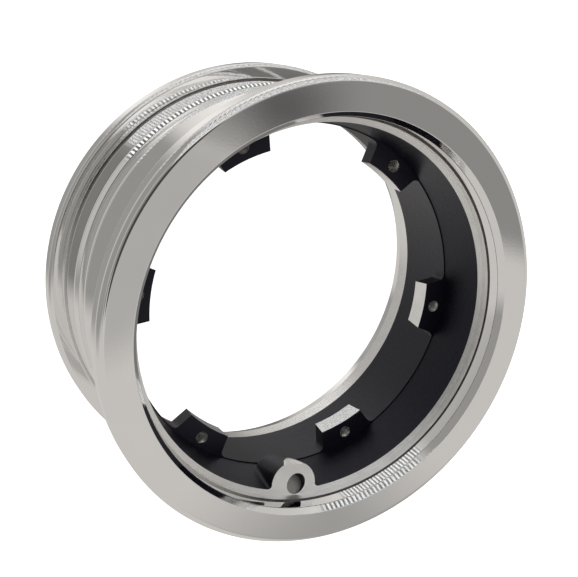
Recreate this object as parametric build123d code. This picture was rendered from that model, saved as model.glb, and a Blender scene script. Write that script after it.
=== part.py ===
from build123d import *
import os
from math import atan2, cos, degrees, radians, sin, tan

# Electric scooter rim, one aluminium casting, turned outside and bored for a hub motor.
# Millimetres and degrees. The axle line is Z, the rim lies on its rear flange at Z = 0,
# and its front face looks up. A "depth" is measured down from the front face.

# Overall
seat_diameter = 165.1            # 6.5 inch bead seat, at the foot of the flange
overall_width = 81.0

# Tyre side, the same for both beads
seat_width = 10.5
seat_slope = 5.0                 # the seat falls towards the middle of the rim
flange_height = 6.45
flange_thickness = 9.0
flange_bevel = 1.5               # on the outer edge of the visible face
hump_width = 7.0
hump_top_width = 2.0
hump_height = 1.2                # above the inner end of the seat

# Drop centre
shoulder_width = 8.6             # between the rear hump and the long slope
well_depth = 6.05                # floor below the foot of the flange
well_floor_width = 3.0
well_front_slope = 50.0          # the short slope, from the axle line; the long one takes the rest

# Bore, both ends: a turned mouth
mouth_rise = 2.5                 # its edge in the face, outside the register
mouth_foot_rise = 0.6
front_mouth_depth = 8.0
rear_mouth_depth = 7.1

# Bore, front end: a register for the motor's side cover, and the ledge that it sits on
register_wall = 8.35             # metal between the foot of the flange and the register
ledge_depth = 11.9
ledge_width = 2.15

# Bore, middle: two cast halves, drafted from a parting plane
parting_depth = 32.3
parting_step = 0.4               # the rear half stands this far inside the front one
front_wall_rise = 1.95           # each half opens by this much from the plane to its outer end
rear_wall_rise = 3.0

# Bore, rear end: a turned land
land_width = 8.4
land_slope = 8.0

# Lugs
lug_count = 6
lug_height = 8.7                 # from the wall to the turned pads, which share one cylinder
lug_hole_setback = 5.0           # hole line behind the pads, on a circle of 132
lug_hole_diameter = 5.0          # tapping size of an M6 thread
lug_length = 9.0
lug_foot_angle = 10.0            # half the arc that a lug takes of the wall
lug_flank_angle = 16.0           # each side opens towards the wall
lug_draft = 7.0                  # each side narrows towards the rear
lug_root_radius = 2.5
lug_rear_bevel = 0.8
lug_pad_allowance = 1.8          # metal that the turning tool takes off a lug's top

# Valve ear
ear_angle = 90.9                 # between two lugs
ear_radius = 8.0
ear_crest_allowance = 1.0        # metal that the same tool takes off the ear's crest
ear_fade_clearance = 1.4         # the leaning crest meets the wall this far above the parting plane
ear_root_radius = 1.6
valve_hole_diameter = 8.0
valve_hole_depth = 3.4
valve_hole_clearance = 0.2       # between its edge in the ledge and the register

# Worked out from the sizes above
seat_radius = seat_diameter / 2
seat_end_radius = seat_radius - seat_width * tan(radians(seat_slope))
flange_radius = seat_radius + flange_height
well_radius = seat_radius - well_depth
register_radius = seat_radius - register_wall
mouth_radius = register_radius + mouth_rise
mouth_foot_radius = register_radius + mouth_foot_rise
ledge_radius = register_radius - ledge_width
ledge_height = overall_width - ledge_depth
parting_height = overall_width - parting_depth
front_throat_radius = ledge_radius - front_wall_rise
rear_throat_radius = front_throat_radius - parting_step
land_top = rear_mouth_depth + land_width
land_top_radius = rear_throat_radius + rear_wall_rise
land_rear_radius = land_top_radius + land_width * tan(radians(land_slope))
pad_radius = rear_throat_radius - lug_height
lug_hole_line = pad_radius + lug_hole_setback
ear_depth = ledge_height - parting_height
ear_crest_radius = pad_radius - ear_crest_allowance
ear_lean = degrees(atan2(front_throat_radius - ear_crest_radius, ear_depth - ear_fade_clearance))
ear_centre = ear_crest_radius + ear_radius / cos(radians(ear_lean))
valve_hole_radius = valve_hole_diameter / 2
valve_hole_centre = register_radius - valve_hole_clearance - valve_hole_radius / cos(radians(ear_lean))


def bead_side(height_of):
    """Outline of one bead, from the flange's face to the foot of the hump.

    height_of turns a distance from that flange's face into a height.
    """
    hump_start = flange_thickness + seat_width
    hump_flank = (hump_width - hump_top_width) / 2
    hump_radius = seat_end_radius + hump_height
    return [
        (flange_radius - flange_bevel, height_of(0)),
        (flange_radius, height_of(flange_bevel)),
        (flange_radius, height_of(flange_thickness)),
        (seat_radius, height_of(flange_thickness)),
        (seat_end_radius, height_of(hump_start)),
        (hump_radius, height_of(hump_start + hump_flank)),
        (hump_radius, height_of(hump_start + hump_flank + hump_top_width)),
        (seat_end_radius, height_of(hump_start + hump_width)),
    ]


def well_outline():
    """Shoulder, long slope, floor and short slope of the drop centre, from rear to front."""
    hump_end = flange_thickness + seat_width + hump_width
    front_foot = overall_width - hump_end
    floor_end = front_foot - (seat_end_radius - well_radius) / tan(radians(well_front_slope))
    return [
        (seat_end_radius, hump_end + shoulder_width),
        (well_radius, floor_end - well_floor_width),
        (well_radius, floor_end),
    ]


def bore_outline():
    """The inside of the rim, from the front face down to the rear one."""
    return [
        (mouth_radius, overall_width),
        (mouth_foot_radius, overall_width - front_mouth_depth),
        (register_radius, overall_width - front_mouth_depth),
        (register_radius, ledge_height),
        (ledge_radius, ledge_height),
        (front_throat_radius, parting_height),
        (rear_throat_radius, parting_height),
        (land_top_radius, land_top),
        (land_rear_radius, rear_mouth_depth),
        (mouth_foot_radius, rear_mouth_depth),
        (mouth_radius, 0),
    ]


def barrel():
    """The turned body: one closed section swept round the axle line."""
    rear_bead = bead_side(lambda distance: distance)
    front_bead = bead_side(lambda distance: overall_width - distance)
    outline = Polyline(*rear_bead, *well_outline(), *reversed(front_bead), *bore_outline(), close=True)
    return revolve(make_face(Plane.XZ * outline), Axis.Z)


def lug():
    """One cast lug at angle zero: front face on the parting plane, drafted towards the rear.

    Its sides run from the top to the wall, then turn along the wall to carry the root fillets.
    """
    top = pad_radius - lug_pad_allowance
    buried = (rear_throat_radius + well_radius) / 2
    foot = Vector(rear_throat_radius, 0).rotate(Axis.Z, lug_foot_angle)
    end = foot + Vector(0, 2 * lug_root_radius).rotate(Axis.Z, lug_foot_angle)
    top_half = foot.Y - (foot.X - top) * tan(radians(lug_flank_angle))
    side = [(top, top_half), (foot.X, foot.Y), (end.X, end.Y), (buried, end.Y)]
    other_side = [(x, -y) for x, y in reversed(side)]
    corners = [0, lug_root_radius, 0, 0]
    outline = FilletPolyline(*side, *other_side, radius=corners + corners[::-1], close=True)
    front = Pos(0, 0, parting_height) * make_face(outline)
    block = extrude(front, lug_length, dir=(0, 0, -1), taper=lug_draft)
    return chamfer(block.faces().sort_by(Axis.Z)[0].edges(), lug_rear_bevel)


def leaning(centre):
    """The plane square to the leaning axis of the ear and its hole, through a point of the ledge."""
    return Plane(
        origin=(centre, 0, ledge_height),
        z_dir=(-sin(radians(ear_lean)), 0, cos(radians(ear_lean))),
    )


def upright_cylinder(radius, height):
    """A cylinder that stands on its plane."""
    return Cylinder(radius, height, align=(Align.CENTER, Align.CENTER, Align.MIN))


def ear():
    """The valve ear at angle zero: its face lies in the ledge, and its back fades into the wall."""
    boss = leaning(ear_centre) * Cylinder(ear_radius, 2 * ear_depth / cos(radians(ear_lean)))
    inside_wall = (ledge_radius + register_radius) / 2
    return boss & Pos(0, 0, parting_height) * upright_cylinder(inside_wall, ear_depth)


def ear_roots(body, cast, valve_ear):
    """The edges where the ear grows out of the wall, without those in the ledge's plane."""
    return new_edges(cast, valve_ear, combined=body).filter_by(
        lambda edge: edge.bounding_box().size.Z > ear_root_radius
    )


def valve_hole():
    """Drill for the valve at angle zero, square to its own leaning axis."""
    drill = upright_cylinder(valve_hole_radius, 2 * valve_hole_depth + ear_radius)
    return leaning(valve_hole_centre) * Pos(0, 0, -valve_hole_depth) * drill


def rim():
    """Cast the barrel with its lugs and ear, then turn the pads and drill the holes."""
    cast = barrel() + [place * lug() for place in PolarLocations(0, lug_count)]
    valve_ear = Rot(0, 0, ear_angle) * ear()
    body = cast + valve_ear
    body = fillet(ear_roots(body, cast, valve_ear), ear_root_radius)
    body -= upright_cylinder(pad_radius, overall_width)
    lug_hole = upright_cylinder(lug_hole_diameter / 2, overall_width)
    body -= [place * lug_hole for place in PolarLocations(lug_hole_line, lug_count)]
    body -= Rot(0, 0, ear_angle) * valve_hole()
    return body


os.makedirs("parts", exist_ok=True)
export_step(rim(), "parts/rim.step")
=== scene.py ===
from collections import namedtuple
from math import atan2, ceil, cos, pi, radians, sin, sqrt, tan

import bmesh
import bpy
from mathutils import Matrix, Vector


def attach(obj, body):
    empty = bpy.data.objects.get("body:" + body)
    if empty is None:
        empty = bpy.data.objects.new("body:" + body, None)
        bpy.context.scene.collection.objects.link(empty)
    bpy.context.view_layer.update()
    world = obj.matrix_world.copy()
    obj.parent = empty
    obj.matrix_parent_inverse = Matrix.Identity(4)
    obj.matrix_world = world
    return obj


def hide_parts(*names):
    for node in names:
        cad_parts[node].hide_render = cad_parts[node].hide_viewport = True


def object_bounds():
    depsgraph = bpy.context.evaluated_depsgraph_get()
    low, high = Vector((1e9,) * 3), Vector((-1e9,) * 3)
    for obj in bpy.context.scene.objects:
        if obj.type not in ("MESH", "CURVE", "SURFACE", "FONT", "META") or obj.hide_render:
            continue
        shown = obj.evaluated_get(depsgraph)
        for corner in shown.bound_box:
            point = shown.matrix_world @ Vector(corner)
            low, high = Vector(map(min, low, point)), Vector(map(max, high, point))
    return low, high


# Electric scooter rim: the casting with its fine roundings, threads and finishes, in the frame
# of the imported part. Sizes are in millimetres and degrees where nothing else is said, and a
# "depth" is measured down from the front face, as in the part's source.

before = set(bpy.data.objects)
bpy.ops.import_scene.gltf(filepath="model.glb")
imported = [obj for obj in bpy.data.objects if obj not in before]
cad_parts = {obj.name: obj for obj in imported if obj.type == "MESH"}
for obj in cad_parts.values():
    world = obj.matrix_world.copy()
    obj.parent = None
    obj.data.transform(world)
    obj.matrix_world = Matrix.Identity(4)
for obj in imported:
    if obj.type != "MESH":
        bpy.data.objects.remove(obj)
cad_low, cad_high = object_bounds()
MM = 0.001

# Tyre side, the same for both beads
flange_radius = cad_high.x / MM
overall_width = cad_high.z / MM
seat_radius = 82.55
seat_width = 10.5
seat_slope = 5.0
flange_thickness = 9.0
flange_corner_radius = 2.5
flange_inner_corner_radius = 1.6
seat_fillet_radius = 1.0
hump_width = 7.0
hump_height = 1.2
hump_crest_radius = 3.0
hump_foot_radius = 0.8

# Drop centre
shoulder_width = 8.6
shoulder_radius = 4.0
well_radius = 76.5
well_floor_width = 3.0
well_front_slope = 50.0
well_fillet_radius = 2.5

# Bore
mouth_radius = 76.7
mouth_foot_radius = 74.8
mouth_wall_rise = 0.1             # the front mouth's wall is all but upright
mouth_lip_depth = 2.6             # the lip flares out from that wall
mouth_round_radius = 0.3
mouth_corner_radius = 0.2
lip_foot_radius = 0.8
front_mouth_depth = 8.0
rear_mouth_depth = 7.1
register_radius = 74.2
register_edge_radius = 0.2
ledge_depth = 11.9
ledge_radius = 72.05
parting_depth = 32.3
front_throat_radius = 70.1
rear_throat_radius = 69.7
land_top_height = 15.5
wall_end_radius = 72.7
land_top_radius = 72.9
land_rear_radius = 73.9

# Lugs
lug_count = 6
pad_radius = 61.0
lug_length = 9.0
lug_foot_angle = 10.0
lug_flank_angle = 16.0
lug_draft = 7.0
lug_root_radius = 2.5
lug_rear_bevel = 0.8
lug_hole_line = 66.0
lug_hole_radius = 2.5
thread_pitch = 1.0
thread_height = 0.45

# Valve ear
ear_angle = 90.2
ear_radius = 9.6
ear_crest_radius = 59.8           # in the ledge, before the pads' cylinder cuts it
ear_lean = 12.8
ear_end_rounding = 3.6            # its back end curves into the wall over this length
ear_end_overlap = 0.2             # and ends this far behind the wall
ear_root_radius = 1.6
ear_skew = 0.1                    # its crest stands this share of its height to one side
ear_span = 14.0                   # half the arc of wall that is drawn with the ear
valve_hole_angle = 90.9
valve_hole_lean = 28.0
valve_hole_centre = 69.47
valve_hole_radius = 4.0
valve_hole_depth = 3.4

# Painted shade in the inner corners: how far it reaches from a corner, and where round the rim it
# thins out
corner_shade_reach = 0.65
corner_shade_fade_side = 30.0          # the direction of the side where it is thin
corner_shade_fades_from = 45.0         # distance from the middle towards that side
corner_shade_fades_to = 75.0
corner_shade_least = 0.15

# Worked out from the sizes above
seat_end_radius = seat_radius - seat_width * tan(radians(seat_slope))
hump_start = flange_thickness + seat_width
hump_end = hump_start + hump_width
ear_depth = parting_depth - ledge_depth
ledge_height = overall_width - ledge_depth
parting_height = overall_width - parting_depth
lug_rear_height = parting_height - lug_length

# How finely curved stretches are divided. A set of columns is for a side, its root fillet and
# the wall beside it.
ring_columns = 360
arc_step = 9.0                    # of a rounding, to one facet
least_arc_steps = 2
edge_support = 0.08               # between a rounding's end and the loop beside it
bisections = 40
pad_columns = 6                   # of half a pad
lug_columns = (6, 7, 14)
lug_side_overshoot = 2            # a lug's side is laid out this many times too long
lug_levels = (0.0, 0.3, 0.6)      # as shares of its length
rear_wall_levels = 8
ear_columns = (44, 7, 6)
ear_body_levels = 20
ear_end_levels = 14
plain_wall_columns = 222          # of the front wall, away from the ear
hole_columns = 32
thread_rows = 6                   # to one turn
thread_fade_rows = 4              # at each end of the thread
smooth_angle = 32.0               # edges that turn by more stay sharp

# How near to a surface still counts as on it
register_reach = 0.01
wall_reach = 0.005
pad_reach = 0.3
pad_upright = 0.5                 # largest part of a pad's normal along the axle line
ear_least_height = 0.01           # an ear that stands out by less is left out

# Places in the list of materials
POLISHED, TURNED, BLACK, SHADED_DRILLED, CORNER_SHADE, SHADED_TAPPED, BORED = range(7)

# The range that most of a noise's values lie in
noise_low = 0.3
noise_high = 0.7

# Camera: place and target, the direction that points up in the picture, lens and framing
camera_place = (169.3, -81.8, 355.0)
camera_target = (2.96, 5.63, 57.65)
camera_up = (0.0223, -0.9557, -0.2935)
camera_lens = 56.43
camera_shift = (-0.018, 0.0567)
camera_clip = (0.01, 100)         # metres

floor_size = 6.0                  # metres

# Light tent: its own grey level, from 0 to 255 as it shows in the picture, and its warmth
tent_level = 198
tent_warmth = 0.04
half_turn = 180.0
white = (1, 1, 1, 1)

# Soft panels, each over the ones before it: middle, half width and soft ends round the axle line,
# lowest and highest elevation with their soft edges, level and warmth
Panel = namedtuple("Panel", "middle half_width soft_ends low high soft_edges level warmth",
                   defaults=(0.035,))
panels = [
    # The camera's side: a wide grey panel, and bands across it
    Panel(-17, 42, 14, -45, 90, 8, 148),
    Panel(-17, 30, 20, 41, 54, 4, 178),
    Panel(-5, 45, 20, 58, 68, 4, 128),
    Panel(-17, 30, 20, -37, -31, 3, 188),
    Panel(-12, 66, 20, -84, -63, 4, 152),
    # The key light, from below to above
    Panel(-88, 21, 36, -90, 90, 10, 240),
    # The far side
    Panel(170, 40, 24, -90, -25, 8, 118),
    Panel(131, 13, 12, -12, 52, 8, 158),
    Panel(190, 21.3, 3, 42, 76, 10, 139),
    Panel(177, 5, 10, 61, 66.5, 5, 92),
    # Overhead, and a lighter patch beside it
    Panel(0, 180, 1, 74.5, 90, 3, 66, warmth=0.08),
    Panel(150, 20, 12, 65, 75, 3, 174),
]

# Rows of lamps in dark housings: middle and half width, lowest and highest elevation, strength
LampRow = namedtuple("LampRow", "middle half_width low high strength")
lamp_rows = [
    LampRow(-98, 58, -43, -33, 1.25),
    LampRow(-85, 25, -64, -43, 1.1),
    LampRow(-98, 46, 24, 68, 1.25),
    LampRow(-85, 25, 2, 24, 1.0),
]
lamp_spacing = 2.0
lamp_gap_dark = 0.22              # shares of the spacing from the middle of a gap: dark up to here
lamp_gap_end = 0.30               # and lit from here
lamp_row_soft_ends = 6.0
lamp_row_soft_edges = 2.0
lamp_housing_level = 96


# Section of the turned body

def bead_side(height_of):
    """One bead from the flange's face to the foot of the hump: radius, height, corner radius."""
    return [
        (flange_radius, height_of(0), flange_corner_radius),
        (flange_radius, height_of(flange_thickness), flange_inner_corner_radius),
        (seat_radius, height_of(flange_thickness), seat_fillet_radius),
        (seat_end_radius, height_of(hump_start), hump_foot_radius),
        (seat_end_radius + hump_height, height_of(hump_start + hump_width / 2), hump_crest_radius),
        (seat_end_radius, height_of(hump_end), hump_foot_radius),
    ]


def well_side():
    """Shoulder, long slope, floor and short slope of the drop centre, from rear to front."""
    front_foot = overall_width - hump_end
    floor_end = front_foot - (seat_end_radius - well_radius) / tan(radians(well_front_slope))
    return [
        (seat_end_radius, hump_end + shoulder_width, shoulder_radius),
        (well_radius, floor_end - well_floor_width, well_fillet_radius),
        (well_radius, floor_end, well_fillet_radius),
    ]


def turned_section():
    """From the ledge round the front face, the tyre side and the rear face to the turned land."""
    front_bead = bead_side(lambda distance: overall_width - distance)
    return [
        (register_radius, ledge_height, 0),
        (register_radius, overall_width - front_mouth_depth, register_edge_radius),
        (mouth_foot_radius, overall_width - front_mouth_depth, mouth_corner_radius),
        (mouth_foot_radius + mouth_wall_rise, overall_width - mouth_lip_depth, lip_foot_radius),
        (mouth_radius, overall_width, mouth_round_radius),
        *front_bead,
        *reversed(well_side()),
        *reversed(bead_side(lambda distance: distance)),
        (mouth_radius, 0, mouth_round_radius),
        (mouth_foot_radius, rear_mouth_depth, 0),
        (land_rear_radius, rear_mouth_depth, 0),
        (land_top_radius, land_top_height, 0),
    ]


def rounded(corners):
    """Points of an open outline with each corner rounded, and a support beside each rounding."""
    points = []
    for index, (x, z, radius) in enumerate(corners):
        corner = Vector((x, z))
        if not radius:
            points.append(corner)
            continue
        back = (Vector(corners[index - 1][:2]) - corner).normalized()
        ahead = (Vector(corners[index + 1][:2]) - corner).normalized()
        turn = pi - back.angle(ahead)
        tangent = radius * tan(turn / 2)
        centre = corner + (back + ahead).normalized() * radius / cos(turn / 2)
        start = corner + back * tangent - centre
        side = 1 if start.x * ahead.y - start.y * ahead.x > 0 else -1
        steps = max(least_arc_steps, ceil(turn / radians(arc_step)))
        points.append(corner + back * (tangent + edge_support))
        for step in range(steps + 1):
            angle = side * turn * step / steps
            points.append(centre + Vector((
                start.x * cos(angle) - start.y * sin(angle),
                start.x * sin(angle) + start.y * cos(angle),
            )))
        points.append(corner + ahead * (tangent + edge_support))
    return points


# Outlines of the cast pieces in the bore, as points in the plan at one height

def front_wall_radius(height):
    """The cast wall in front of the parting plane."""
    share = (height - parting_height) / (ledge_height - parting_height)
    return front_throat_radius + share * (ledge_radius - front_throat_radius)


def rear_wall_radius(height):
    """The cast wall behind the parting plane."""
    share = (parting_height - height) / (parting_height - land_top_height)
    return rear_throat_radius + share * (wall_end_radius - rear_throat_radius)


def rooted(side, wall, root_radius, span, columns):
    """Half an outline: a side as far as its root, the root fillet, then the wall to the span's end.

    side gives the point and the outward normal at a share of its length.
    """
    side_steps, root_steps, wall_steps = columns
    low, high = 0.0, 1.0
    for _ in range(bisections):
        share = (low + high) / 2
        point, normal = side(share)
        if (point + normal * root_radius).length < wall - root_radius:
            low = share
        else:
            high = share
    point, normal = side(low)
    centre = point + normal * root_radius
    foot_angle = atan2(centre.y, centre.x)
    turn_start = atan2(-normal.y, -normal.x)
    turn = (foot_angle - turn_start + pi) % (2 * pi) - pi
    outline = [side(low * step / side_steps)[0] for step in range(side_steps + 1)]
    for step in range(1, root_steps + 1):
        angle = turn_start + turn * step / root_steps
        outline.append(centre + root_radius * Vector((cos(angle), sin(angle))))
    for step in range(1, wall_steps + 1):
        angle = foot_angle + (span - foot_angle) * step / wall_steps
        outline.append(wall * Vector((cos(angle), sin(angle))))
    return outline


def both_sides(half):
    """A whole outline from its upper half, in order of rising angle."""
    return [Vector((p.x, -p.y)) for p in reversed(half[1:])] + half


def lug_outline(depth, inset):
    """A lug and its share of the wall at a depth below the parting plane, about angle zero."""
    flank = radians(lug_flank_angle)
    normal = Vector((-sin(flank), cos(flank)))
    inwards = Vector((-cos(flank), -sin(flank)))
    foot = rear_throat_radius * Vector((cos(radians(lug_foot_angle)), sin(radians(lug_foot_angle))))
    foot -= normal * (depth * tan(radians(lug_draft)) + inset)
    pad = pad_radius + inset
    reach = -foot.dot(inwards) - sqrt(foot.dot(inwards) ** 2 - foot.length_squared + pad ** 2)
    corner = foot + inwards * reach
    corner_angle = atan2(corner.y, corner.x)

    def side(share):
        return corner - inwards * share * lug_side_overshoot * reach, normal

    wall = rear_wall_radius(parting_height - depth)
    half = rooted(side, wall, lug_root_radius, pi / lug_count, lug_columns)
    top = []
    for column in range(pad_columns):
        angle = corner_angle * column / pad_columns
        top.append(pad * Vector((cos(angle), sin(angle))))
    return both_sides(top + half)


def all_lugs(depth, inset):
    """The whole plan of the bore at a height with lugs."""
    plan = []
    for number in range(lug_count):
        plan += turned_about(lug_outline(depth, inset)[1:], 2 * pi * number / lug_count)
    return plan


def ear_drop(depth):
    """How far the crest of the ear falls towards the wall where its back end is rounded."""
    into_end = max(0, 1 - (ear_depth - depth) / ear_end_rounding)
    end_height = front_throat_radius - ear_crest_radius - ear_depth * tan(radians(ear_lean))
    return (end_height + ear_end_overlap) * (1 - sqrt(max(0, 1 - into_end ** 2)))


def ear_outline(depth):
    """The valve ear and the wall beside it at a depth below the ledge, about angle zero."""
    lean = radians(ear_lean)
    span = radians(ear_span)
    long_half = ear_radius / cos(lean)
    centre = ear_crest_radius + long_half + depth * tan(lean) + ear_drop(depth)
    wall = front_wall_radius(ledge_height - depth)

    def side(share):
        angle = share * pi
        point = Vector((centre - long_half * cos(angle), ear_radius * sin(angle)))
        return point, Vector((-cos(angle) / long_half, sin(angle) / ear_radius)).normalized()

    if centre - long_half >= wall - ear_least_height:
        count = sum(ear_columns)
        half = circle(wall, [span * step / count for step in range(count + 1)])
    else:
        half = rooted(side, wall, ear_root_radius, span, ear_columns)
    skewed = [Vector((p.x, p.y - ear_skew * max(0, wall - p.length))) for p in both_sides(half)]
    return [p if p.length > pad_radius else p.normalized() * pad_radius for p in skewed]


def circle(radius, angles):
    """Plan points on a circle about the axle line."""
    return [radius * Vector((cos(angle), sin(angle))) for angle in angles]


def turned_about(points, angle):
    """Plan points turned about the axle line."""
    return [Vector((p.x * cos(angle) - p.y * sin(angle), p.x * sin(angle) + p.y * cos(angle)))
            for p in points]


# Mesh building

def loop_of(mesh, plan, height):
    """A closed loop of vertices at one height."""
    return [mesh.verts.new((p.x * MM, p.y * MM, height * MM)) for p in plan]


def strip(mesh, lower, upper, material):
    """Quads between two loops of as many vertices."""
    for index in range(len(lower)):
        after = (index + 1) % len(lower)
        face = mesh.faces.new((lower[index], lower[after], upper[after], upper[index]))
        face.material_index = material


def wrap(mesh, loops, material):
    """Strips between loops that follow one another downwards."""
    for upper, lower in zip(loops, loops[1:]):
        strip(mesh, lower, upper, material)


def fill(mesh, loops, material):
    """A flat face bounded by closed loops, the first one outside."""
    edges = []
    for loop in loops:
        for index, vertex in enumerate(loop):
            other = loop[(index + 1) % len(loop)]
            edges.append(mesh.edges.get((vertex, other)) or mesh.edges.new((vertex, other)))
    made = bmesh.ops.triangle_fill(mesh, use_beauty=True, use_dissolve=False, edges=edges)
    for item in made["geom"]:
        if isinstance(item, bmesh.types.BMFace):
            item.material_index = material


def in_corner(low, high):
    """Whether a stretch lies in an inner corner of the tyre side, or in that of the mouth."""
    corners = [(seat_radius, flange_thickness), (seat_end_radius, hump_start),
               (seat_end_radius, hump_end)]
    corners += [(radius, overall_width - height) for radius, height in corners]
    corners.append((mouth_foot_radius, overall_width - front_mouth_depth))
    middle = (low + high) / 2
    return any((middle - Vector(corner)).length < corner_shade_reach for corner in corners)


def section_material(low, high):
    """The finish of one stretch of the turned section.

    The land is bored and the register turned, the inner corners carry painted shade, and the rest is
    polished.
    """
    radius = (low.x + high.x) / 2
    height = (low.y + high.y) / 2
    if radius < mouth_foot_radius and height < land_top_height:
        return BORED
    if abs(radius - register_radius) < register_reach:
        return TURNED
    # The inner corners get the dark metal that paints shade into them.
    return CORNER_SHADE if in_corner(low, high) else POLISHED


def add_turned_body(mesh):
    """The surfaces of revolution; returns their first and last loops."""
    angles = [2 * pi * step / ring_columns for step in range(ring_columns)]
    section = rounded(turned_section())
    loops = [loop_of(mesh, circle(p.x, angles), p.y) for p in section]
    for index in range(len(section) - 1):
        material = section_material(section[index], section[index + 1])
        strip(mesh, loops[index], loops[index + 1], material)
    return loops[0], loops[-1]


def add_front_wall(mesh):
    """The cast wall between ledge and parting plane with the ear; returns its two end loops."""
    span = radians(ear_span)
    start = radians(ear_angle) + span
    rest = [start + (2 * pi - 2 * span) * step / plain_wall_columns
            for step in range(1, plain_wall_columns)]
    body_depth = ear_depth - ear_end_rounding
    depths = [body_depth * level / ear_body_levels for level in range(ear_body_levels)]
    depths += [body_depth + ear_end_rounding * sin(radians(90 * level / ear_end_levels))
               for level in range(ear_end_levels + 1)]
    loops = []
    for below in depths:
        wall = front_wall_radius(ledge_height - below)
        plan = turned_about(ear_outline(below), radians(ear_angle)) + circle(wall, rest)
        loops.append(loop_of(mesh, plan, ledge_height - below))
    wrap(mesh, loops, BLACK)
    return loops[0], loops[-1]


def add_lug_sides(mesh):
    """The lugs and the wall between them, as far back as the lugs reach; returns both end loops."""
    levels = [(share * lug_length, 0) for share in lug_levels]
    levels += [(lug_length - lug_rear_bevel, 0), (lug_length, lug_rear_bevel)]
    loops = [loop_of(mesh, all_lugs(depth, inset), parting_height - depth) for depth, inset in levels]
    wrap(mesh, loops, BLACK)
    return loops[0], loops[-1]


def add_wall_behind_lugs(mesh, lug_end, angles):
    """The wall's loop in the plane where the lugs end, and the loop round each lug's rear face."""
    wall = rear_wall_radius(lug_rear_height)
    on_wall = [abs(v.co.xy.length / MM - wall) < wall_reach for v in lug_end]
    wall_loop = []
    for vertex, stays, angle in zip(lug_end, on_wall, angles):
        if not stays:
            place = (wall * MM * cos(angle), wall * MM * sin(angle), lug_rear_height * MM)
            vertex = mesh.verts.new(place)
        wall_loop.append(vertex)
    count = len(lug_end) // lug_count
    rear_faces = []
    for number in range(lug_count):
        own = range(number * count, (number + 1) * count)
        parts = [index for index in own if not on_wall[index]]
        before, after = parts[0] - 1, (parts[-1] + 1) % len(lug_end)
        lug_side = [lug_end[before]] + [lug_end[index] for index in parts] + [lug_end[after]]
        wall_side = [wall_loop[index] for index in reversed(parts)]
        rear_faces.append(lug_side + wall_side)
    return wall_loop, rear_faces


def add_rear_wall(mesh):
    """The cast wall from the parting plane to the turned land, with the lugs.

    Returns its two end loops and, for each lug, the loop round its rear face.
    """
    parting_loop, lug_end = add_lug_sides(mesh)
    angles = [atan2(v.co.y, v.co.x) for v in lug_end]
    upper, rear_faces = add_wall_behind_lugs(mesh, lug_end, angles)
    for level in range(1, rear_wall_levels + 1):
        height = lug_rear_height + (land_top_height - lug_rear_height) * level / rear_wall_levels
        lower = loop_of(mesh, circle(rear_wall_radius(height), angles), height)
        strip(mesh, lower, upper, BLACK)
        upper = lower
    return parting_loop, upper, rear_faces


def add_threaded_hole(mesh, number):
    """A lug's hole with its thread; returns the loops at the front and the rear face."""
    direction = 2 * pi * number / lug_count
    middle = lug_hole_line * Vector((cos(direction), sin(direction)))
    rows = round(lug_length / thread_pitch * thread_rows)
    loops = []
    for row in range(rows + 1):
        height = parting_height - lug_length * row / rows
        plan = []
        for column in range(hole_columns):
            angle = 2 * pi * column / hole_columns
            turn = (lug_length * row / rows / thread_pitch + column / hole_columns) % 1
            groove = thread_height * (1 - abs(2 * turn - 1))
            groove *= min(1, row / thread_fade_rows, (rows - row) / thread_fade_rows)
            plan.append(middle + (lug_hole_radius + groove) * Vector((cos(angle), sin(angle))))
        loops.append(loop_of(mesh, plan, height))
    # The threads take a metal coloured darker than bare aluminium: painted shade inside the holes.
    wrap(mesh, loops, SHADED_TAPPED)
    return loops[0], loops[-1]


def add_valve_hole(mesh):
    """The blind leaning hole in the ear; returns its loop in the ledge's plane."""
    lean = radians(valve_hole_lean)
    axis = Vector((sin(lean), 0, -cos(lean)))
    across = Vector((cos(lean), 0, sin(lean)))
    sideways = Vector((0, 1, 0))
    turn = Matrix.Rotation(radians(valve_hole_angle), 3, "Z")
    centre = Vector((valve_hole_centre, 0, ledge_height))
    columns = 2 * hole_columns
    upper, lower = [], []
    for column in range(columns):
        angle = 2 * pi * column / columns
        spoke = centre + valve_hole_radius * (cos(angle) * across + sin(angle) * sideways)
        rise = (ledge_height - spoke.z) / axis.z
        upper.append(mesh.verts.new(turn @ (spoke + axis * rise) * MM))
        lower.append(mesh.verts.new(turn @ (spoke + axis * valve_hole_depth) * MM))
    # The hole's wall is painted black: painted shade inside the hole.
    strip(mesh, lower, upper, BLACK)
    # The floor takes a dark grey metal: painted shade at the bottom of the hole.
    mesh.faces.new(lower).material_index = SHADED_DRILLED
    return upper


def mark_pads(mesh):
    """Give the bored finish to the lugs' pads and the ear's facet, which share one cylinder."""
    for face in mesh.faces:
        middle = face.calc_center_median() / MM
        near = abs(middle.xy.length - pad_radius) < pad_reach
        if near and abs(face.normal.z) < pad_upright:
            face.material_index = BORED


def build_rim():
    """One closed mesh: strips for the curved surfaces, flat fills with holes between them."""
    mesh = bmesh.new()
    ledge_edge, land_edge = add_turned_body(mesh)
    wall_top, wall_foot = add_front_wall(mesh)
    parting_loop, wall_end, rear_faces = add_rear_wall(mesh)
    holes = [add_threaded_hole(mesh, number) for number in range(lug_count)]
    fill(mesh, [ledge_edge, wall_top, add_valve_hole(mesh)], TURNED)
    fill(mesh, [wall_foot, parting_loop] + [front for front, _ in holes], BLACK)
    fill(mesh, [land_edge, wall_end], TURNED)
    for (_, rear), outline in zip(holes, rear_faces):
        fill(mesh, [outline, rear], BLACK)
    mark_pads(mesh)
    bmesh.ops.recalc_face_normals(mesh, faces=mesh.faces)
    return mesh


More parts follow.
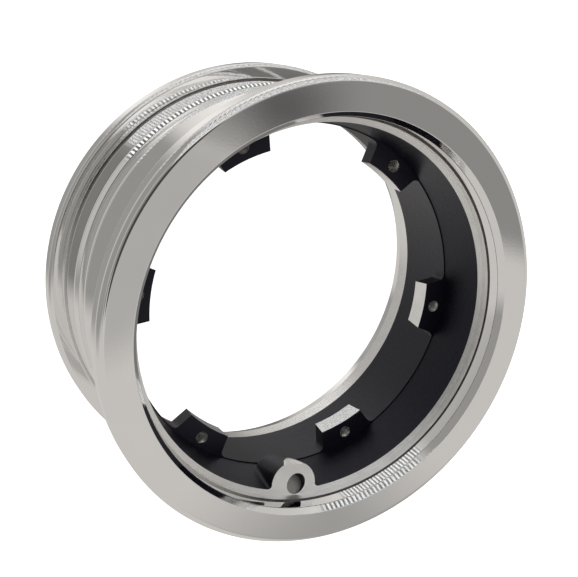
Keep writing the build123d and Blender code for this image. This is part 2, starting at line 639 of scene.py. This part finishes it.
def add_rim(materials):
    """The visible rim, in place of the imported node."""
    mesh = build_rim()
    data = bpy.data.meshes.new("rim_finished")
    mesh.to_mesh(data)
    mesh.free()
    for material in materials:
        data.materials.append(material)
    data.shade_smooth()
    data.set_sharp_from_angle(angle=radians(smooth_angle))
    piece = bpy.data.objects.new("rim_finished", data)
    bpy.context.scene.collection.objects.link(piece)
    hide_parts("rim")
    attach(piece, "root")


# Materials

class Recipe:
    """A node tree with short calls for adding and joining nodes."""

    def __init__(self, tree):
        self.tree = tree

    def add(self, kind, **settings):
        """Add a node and set its properties."""
        node = self.tree.nodes.new(kind)
        for name, value in settings.items():
            setattr(node, name, value)
        return node

    def feed(self, socket, value):
        """Give an input a number, a colour or another node's output."""
        if isinstance(value, bpy.types.NodeSocket):
            self.tree.links.new(value, socket)
        else:
            socket.default_value = value

    def math(self, operation, *values):
        """A calculation with one to three values."""
        node = self.add("ShaderNodeMath", operation=operation)
        for socket, value in zip(node.inputs, values):
            self.feed(socket, value)
        return node.outputs[0]

    def spread(self, value, low, high, new_low, new_high, kind="LINEAR"):
        """Stretch a value from one range to another."""
        node = self.add("ShaderNodeMapRange", interpolation_type=kind)
        names = ("Value", "From Min", "From Max", "To Min", "To Max")
        for name, given in zip(names, (value, low, high, new_low, new_high)):
            self.feed(node.inputs[name], given)
        return node.outputs["Result"]

    def vary(self, noise, low, high):
        """A value that follows a noise between two ends."""
        return self.spread(noise, noise_low, noise_high, low, high)

    def blend(self, share, first, second):
        """Mix two colours."""
        node = self.add("ShaderNodeMixRGB")
        for name, given in zip(("Fac", "Color1", "Color2"), (share, first, second)):
            self.feed(node.inputs[name], given)
        return node.outputs["Color"]

    def noise(self, vector, scale, detail=2.0, roughness=0.5, turn=None):
        """Noise between 0 and 1; turn is a fourth coordinate."""
        node = self.add("ShaderNodeTexNoise", noise_dimensions="3D" if turn is None else "4D")
        self.feed(node.inputs["Vector"], vector)
        self.feed(node.inputs["Scale"], scale)
        self.feed(node.inputs["Detail"], detail)
        self.feed(node.inputs["Roughness"], roughness)
        if turn is not None:
            self.feed(node.inputs["W"], turn)
        return node.outputs["Fac"]

    def bump(self, height, depth, under=None):
        """Bump of a depth in millimetres from a height, over another bump."""
        node = self.add("ShaderNodeBump")
        self.feed(node.inputs["Height"], height)
        self.feed(node.inputs["Distance"], depth * MM)
        if under is not None:
            self.feed(node.inputs["Normal"], under)
        return node.outputs["Normal"]

    def place(self):
        """The point on the object, in millimetres."""
        node = self.add("ShaderNodeVectorMath", operation="SCALE")
        self.feed(node.inputs[0], self.add("ShaderNodeTexCoord").outputs["Object"])
        self.feed(node.inputs["Scale"], 1 / MM)
        return node.outputs[0]

    def parts_of(self, vector):
        """The three parts of a vector."""
        node = self.add("ShaderNodeSeparateXYZ")
        self.feed(node.inputs[0], vector)
        return node.outputs

    def lathe_marks(self, place, across, along):
        """Noise drawn out round the axle line: marks per millimetre across, per radian along."""
        x, y, z = self.parts_of(place)
        x_squared = self.math("MULTIPLY", x, x)
        y_squared = self.math("MULTIPLY", y, y)
        radius = self.math("SQRT", self.math("ADD", x_squared, y_squared))
        joined = self.add("ShaderNodeCombineXYZ")
        self.feed(joined.inputs[0], self.math("MULTIPLY", radius, across))
        self.feed(joined.inputs[1], self.math("MULTIPLY", z, across))
        self.feed(joined.inputs[2], self.math("MULTIPLY", self.math("DIVIDE", x, radius), along))
        turn = self.math("MULTIPLY", self.math("DIVIDE", y, radius), along)
        return self.noise(joined.outputs[0], scale=1.0, detail=3.0, roughness=0.6, turn=turn)


def new_material(name):
    """A material with its recipe and its shader."""
    material = bpy.data.materials.new(name)
    material.use_nodes = True
    return material, Recipe(material.node_tree), material.node_tree.nodes["Principled BSDF"]


def finish(recipe, shader, metallic, colour, roughness, normal):
    """Give a shader what every finish of the rim has."""
    shader.inputs["Metallic"].default_value = metallic
    recipe.feed(shader.inputs["Base Color"], colour)
    recipe.feed(shader.inputs["Roughness"], roughness)
    recipe.feed(shader.inputs["Normal"], normal)


def polished_aluminium():
    """Machined and polished by hand: faint rings, a little orange peel and dull patches."""
    material, recipe, shader = new_material("polished_aluminium")
    place = recipe.place()
    rings = recipe.lathe_marks(place, across=5.0, along=6.0)
    peel = recipe.noise(place, scale=0.9, detail=3.0)
    patches = recipe.noise(place, scale=0.06, detail=3.0)
    finish(
        recipe, shader, metallic=1.0,
        colour=recipe.blend(patches, (0.90, 0.90, 0.895, 1), (0.94, 0.94, 0.935, 1)),
        roughness=recipe.vary(patches, 0.03, 0.05),
        normal=recipe.bump(peel, depth=0.003, under=recipe.bump(rings, depth=0.0015)),
    )
    return material


def turned_aluminium():
    """Left as it came off the lathe: clear rings, and a satin sheen drawn out across them."""
    material, recipe, shader = new_material("turned_aluminium")
    place = recipe.place()
    rings = recipe.lathe_marks(place, across=9.0, along=3.0)
    patches = recipe.noise(place, scale=0.15, detail=3.0)
    finish(
        recipe, shader, metallic=1.0,
        colour=recipe.blend(rings, (0.92, 0.92, 0.91, 1), (1.0, 1.0, 0.99, 1)),
        roughness=recipe.vary(patches, 0.34, 0.44),
        normal=recipe.bump(rings, depth=0.03),
    )
    round_the_axle = recipe.add("ShaderNodeTangent", direction_type="RADIAL", axis="Z")
    recipe.feed(shader.inputs["Tangent"], round_the_axle.outputs[0])
    shader.inputs["Anisotropic"].default_value = 0.7
    shader.inputs["Anisotropic Rotation"].default_value = 0.25
    return material


def bored_aluminium():
    """The pads, the ear's facet and the land: a finer cut than the ledge's, so a brighter sheen."""
    material, recipe, shader = new_material("bored_aluminium")
    place = recipe.place()
    rings = recipe.lathe_marks(place, across=7.0, along=3.0)
    patches = recipe.noise(place, scale=0.2, detail=3.0)
    finish(
        recipe, shader, metallic=1.0,
        colour=recipe.blend(rings, (0.94, 0.94, 0.93, 1), (1.0, 1.0, 0.99, 1)),
        roughness=recipe.vary(patches, 0.22, 0.30),
        normal=recipe.bump(rings, depth=0.003),
    )
    return material


def black_paint():
    """Paint over the cast wall: a soft gloss on a slightly pitted ground."""
    material, recipe, shader = new_material("black_paint")
    place = recipe.place()
    grain = recipe.noise(place, scale=3.0, detail=4.0)
    cast = recipe.noise(place, scale=0.5)
    patches = recipe.noise(place, scale=0.05, detail=3.0)
    finish(
        recipe, shader, metallic=0.0,
        colour=recipe.blend(patches, (0.003, 0.003, 0.007, 1), (0.006, 0.006, 0.012, 1)),
        roughness=recipe.vary(grain, 0.32, 0.44),
        normal=recipe.bump(grain, depth=0.03, under=recipe.bump(cast, depth=0.08)),
    )
    shader.inputs["Specular IOR Level"].default_value = 0.4
    shader.inputs["Specular Tint"].default_value = (0.80, 0.80, 1.0, 1)
    return material


def painted_corner_shade():
    """Painted shade for the inner corners: a dark metal that thins out towards one side of the rim.
    """
    material, recipe, shader = new_material("painted_corner_shade")
    place = recipe.place()
    shade_mottle = recipe.noise(place, scale=0.4, detail=4.0)
    x, y, _ = recipe.parts_of(place)
    # The painted corner shade fades out towards one side of the rim.
    side = radians(corner_shade_fade_side)
    along_x = recipe.math("MULTIPLY", x, cos(side))
    along_y = recipe.math("MULTIPLY", y, sin(side))
    towards = recipe.math("ADD", along_x, along_y)
    shade_strength = recipe.spread(towards, corner_shade_fades_from, corner_shade_fades_to, 1.0, corner_shade_least,
                              kind="SMOOTHSTEP")
    # Dark mottled colours that paint shade into the corners.
    dark = recipe.blend(shade_mottle, (0.03, 0.025, 0.022, 1), (0.22, 0.20, 0.18, 1))
    finish(
        recipe, shader, metallic=1.0,
        colour=recipe.blend(shade_strength, (0.80, 0.79, 0.77, 1), dark),
        roughness=recipe.vary(shade_mottle, 0.25, 0.45),
        normal=recipe.bump(shade_mottle, depth=0.03),
    )
    return material


def shaded_drilled_aluminium():
    """Bare metal at the bottom of the valve hole, coloured dark grey as painted shade in the hole."""
    material, recipe, shader = new_material("shaded_drilled_aluminium")
    swirls = recipe.noise(recipe.place(), scale=2.0, detail=3.0)
    finish(
        recipe, shader, metallic=0.6,
        colour=recipe.blend(swirls, (0.26, 0.26, 0.245, 1), (0.46, 0.46, 0.44, 1)),
        roughness=recipe.vary(swirls, 0.35, 0.55),
        normal=recipe.bump(swirls, depth=0.03),
    )
    return material


def shaded_tapped_aluminium():
    """Fresh threads, coloured darker than bare aluminium as painted shade inside the lug holes:
    brighter than the drilled bottom, with small glints.
    """
    material, recipe, shader = new_material("shaded_tapped_aluminium")
    cuts = recipe.noise(recipe.place(), scale=2.5)
    finish(
        recipe, shader, metallic=1.0,
        colour=recipe.blend(cuts, (0.42, 0.42, 0.41, 1), (0.80, 0.80, 0.78, 1)),
        roughness=recipe.vary(cuts, 0.18, 0.35),
        normal=recipe.bump(cuts, depth=0.03),
    )
    return material


def floor_white():
    """A lit white table."""
    material, recipe, shader = new_material("floor_white")
    grain = recipe.noise(recipe.place(), scale=0.05)
    recipe.feed(shader.inputs["Base Color"],
                recipe.blend(grain, (0.88, 0.88, 0.88, 1), (0.92, 0.92, 0.92, 1)))
    shader.inputs["Roughness"].default_value = 0.9
    shader.inputs["Emission Color"].default_value = white
    shader.inputs["Emission Strength"].default_value = 1.0
    return material


# Studio

def add_camera():
    """The photograph's view: place, aim, roll and framing."""
    data = bpy.data.cameras.new("camera")
    data.lens = camera_lens
    data.shift_x, data.shift_y = camera_shift
    data.clip_start, data.clip_end = camera_clip
    camera = bpy.data.objects.new("camera", data)
    back = (Vector(camera_place) - Vector(camera_target)).normalized()
    right = Vector(camera_up).cross(back).normalized()
    up = back.cross(right)
    turn = Matrix((right, up, back)).transposed().to_4x4()
    camera.matrix_world = Matrix.Translation(Vector(camera_place) * MM) @ turn
    bpy.context.scene.collection.objects.link(camera)
    bpy.context.scene.camera = camera


def add_floor():
    """A white table under the rim, which shows neither in the metal nor as light on it."""
    mesh = bmesh.new()
    bmesh.ops.create_grid(mesh, x_segments=1, y_segments=1, size=floor_size / 2)
    data = bpy.data.meshes.new("floor")
    mesh.to_mesh(data)
    mesh.free()
    floor = bpy.data.objects.new("floor", data)
    bpy.context.scene.collection.objects.link(floor)
    data.materials.append(floor_white())
    floor.visible_glossy = False
    floor.visible_diffuse = False


def grey(level, warmth=0.0):
    """The light that shows as a level from 0 to 255 in the picture, with a warm cast.

    Its brightness follows the sRGB curve.
    """
    light = ((level / 255 + 0.055) / 1.055) ** 2.4
    return (light * (1 + warmth), light, light * (1 - warmth), 1)


def window(room, angle, middle, half_width, softness):
    """1 within half a width of the middle of a direction, falling to 0 outside it."""
    offset = room.math("SUBTRACT", angle, middle)
    away = room.math("ABSOLUTE", room.math("WRAP", offset, half_turn, -half_turn))
    inside, outside = half_width - softness / 2, half_width + softness / 2
    return room.spread(away, inside, outside, 1.0, 0.0, kind="SMOOTHSTEP")


def patch(room, azimuth, elevation, area, soft_ends, soft_edges):
    """1 over the area of a panel or a row of lamps, falling to 0 outside it."""
    across = window(room, azimuth, area.middle, area.half_width, soft_ends)
    middle, half_height = (area.low + area.high) / 2, (area.high - area.low) / 2
    upright = window(room, elevation, middle, half_height, soft_edges)
    return room.math("MULTIPLY", across, upright)


def lay_panels(room, azimuth, elevation, light):
    """The soft panels over the light of the tent."""
    for panel in panels:
        area = patch(room, azimuth, elevation, panel, panel.soft_ends, panel.soft_edges)
        light = room.blend(area, light, grey(panel.level, panel.warmth))
    return light


def lay_lamps(room, azimuth, elevation, light):
    """The rows of lamps over the panels, each row with its dark housing."""
    for row in lamp_rows:
        area = patch(room, azimuth, elevation, row, lamp_row_soft_ends, lamp_row_soft_edges)
        wave = room.math("PINGPONG", azimuth, lamp_spacing / 2)
        lamp = room.spread(wave, lamp_spacing * lamp_gap_dark, lamp_spacing * lamp_gap_end, 0.0, 1.0,
                           kind="SMOOTHSTEP")
        light = room.blend(area, light, grey(lamp_housing_level))
        shine = (row.strength, row.strength, row.strength, 1)
        light = room.blend(room.math("MULTIPLY", area, lamp), light, shine)
    return light


def add_world():
    """A light tent all round, which the camera itself sees as white."""
    world = bpy.data.worlds.new("studio")
    bpy.context.scene.world = world
    world.use_nodes = True
    room = Recipe(world.node_tree)
    x, y, z = room.parts_of(room.add("ShaderNodeTexCoord").outputs["Generated"])
    azimuth = room.math("DEGREES", room.math("ARCTAN2", y, x))
    elevation = room.math("DEGREES", room.math("ARCSINE", z))
    light = lay_panels(room, azimuth, elevation, grey(tent_level, tent_warmth))
    light = lay_lamps(room, azimuth, elevation, light)
    seen = room.blend(room.add("ShaderNodeLightPath").outputs["Is Camera Ray"], light, white)
    background = world.node_tree.nodes["Background"]
    room.feed(background.inputs["Color"], seen)
    background.inputs["Strength"].default_value = 1.0


add_rim([polished_aluminium(), turned_aluminium(), black_paint(), shaded_drilled_aluminium(),
         painted_corner_shade(), shaded_tapped_aluminium(), bored_aluminium()])
add_camera()
add_floor()
add_world()
bpy.context.scene.view_settings.view_transform = "Standard"
